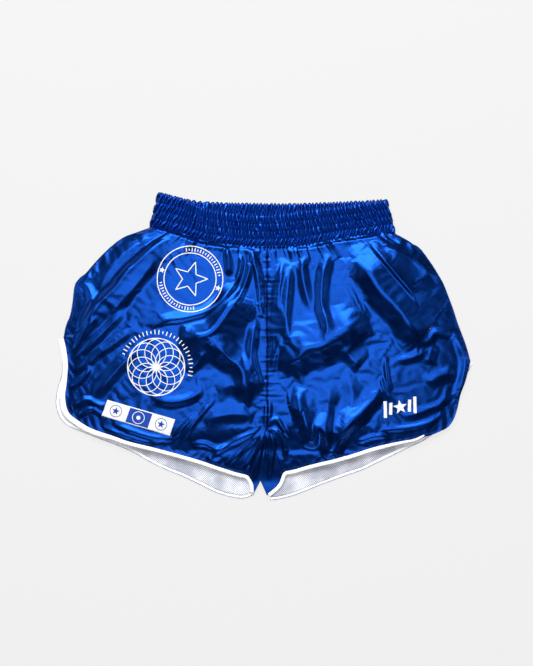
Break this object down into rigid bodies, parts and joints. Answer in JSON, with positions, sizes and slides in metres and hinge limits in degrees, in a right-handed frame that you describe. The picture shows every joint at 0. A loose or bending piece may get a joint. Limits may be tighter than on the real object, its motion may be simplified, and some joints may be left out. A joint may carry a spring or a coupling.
{
  "type": "boxing shorts",
  "caption": "Satin boxing shorts lying flat: puffed front over a flat back, gathered elastic waistband, loose white lining, bound hems with side vents, sewn-on emblems.",
  "frame": {"origin": "centre of the footprint, on the surface that the back of the shorts lies on", "axes": "+Y towards the waist, +Z out of the front of the shorts, +X towards the wearer's left leg"},
  "size_m": [0.588, 0.4292, 0.024],
  "materials": {
    "satin": "shiny blue satin",
    "lining_knit": "fine white knit with small pores",
    "binding_tape": "white satin tape",
    "elastic": "white woven elastic",
    "embroidery": "blue embroidery thread",
    "label_weave": "white and blue woven label",
    "thread": "blue sewing thread"
  },
  "bodies": {
    "right_half": {"front_panel_right": "satin", "back_panel_right": "satin", "crotch_gusset": "satin", "front_lining_right": "lining_knit", "back_lining_right": "lining_knit", "front_binding_right": "binding_tape", "back_binding_right": "binding_tape", "waistband_front_right": "satin", "waistband_back_right": "satin", "waist_elastic_front_right": "elastic", "waist_elastic_back_right": "elastic", "bar_tack_right": "thread", "round_emblem": "embroidery", "rosette_emblem": "embroidery"},
    "right_corner": {"front_panel_corner_right": "satin", "front_lining_corner_right": "lining_knit", "front_binding_corner_right": "binding_tape", "woven_label": "label_weave"},
    "left_half": {"front_panel_left": "satin", "back_panel_left": "satin", "front_lining_left": "lining_knit", "back_lining_left": "lining_knit", "front_binding_left": "binding_tape", "back_binding_left": "binding_tape", "waistband_front_left": "satin", "waistband_back_left": "satin", "waist_elastic_front_left": "elastic", "waist_elastic_back_left": "elastic", "bar_tack_left": "thread", "corner_emblem": "embroidery"},
    "left_corner": {"front_panel_corner_left": "satin", "front_lining_corner_left": "lining_knit", "front_binding_corner_left": "binding_tape"}
  },
  "joints": [
    {"name": "centre_fold", "type": "hinge", "parent": "right_half", "child": "left_half", "pos_m": [0.0039, 0, 0.0184], "axis": [0, -1, 0], "range_deg": [0, 145]},
    {"name": "right_corner_lift", "type": "hinge", "parent": "right_half", "child": "right_corner", "pos_m": [-0.1611, -0.082, 0.0206], "axis": [-0.7952, 0.6063, 0], "range_deg": [0, 90]},
    {"name": "left_corner_lift", "type": "hinge", "parent": "left_half", "child": "left_corner", "pos_m": [0.2379, -0.077, 0.0152], "axis": [-0.6766, -0.7363, 0], "range_deg": [0, 90]}
  ]
}
